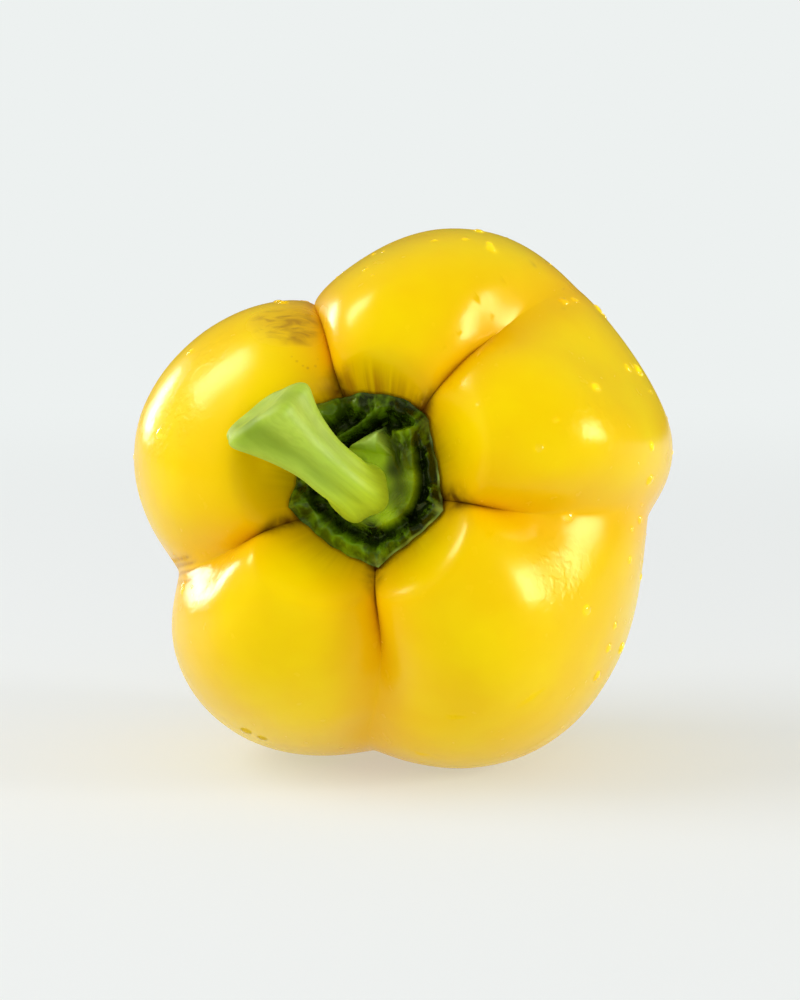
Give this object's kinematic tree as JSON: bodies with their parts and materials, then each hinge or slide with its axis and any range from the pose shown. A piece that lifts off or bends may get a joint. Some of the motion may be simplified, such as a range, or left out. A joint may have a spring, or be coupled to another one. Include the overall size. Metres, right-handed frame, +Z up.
{
  "type": "bell pepper",
  "caption": "Yellow blocky bell pepper lying on its side, with a dark green calyx in the stem basin and a bent, flared, cut green stem.",
  "frame": {"origin": "centre of the bounding box's bottom face, on the surface the pepper lies on", "axes": "+Z up; -Y towards the stem end; +X to the right of someone who looks at the stem end"},
  "size_m": [0.0918, 0.1028, 0.0916],
  "materials": {
    "fruit_skin": "smooth waxy skin, glossy",
    "calyx_green": "wrinkled, glossy dark green",
    "stem_green": "satin light green"
  },
  "bodies": {
    "root": {"fruit": "fruit_skin", "calyx": "calyx_green", "stem": "stem_green"}
  },
  "joints": []
}
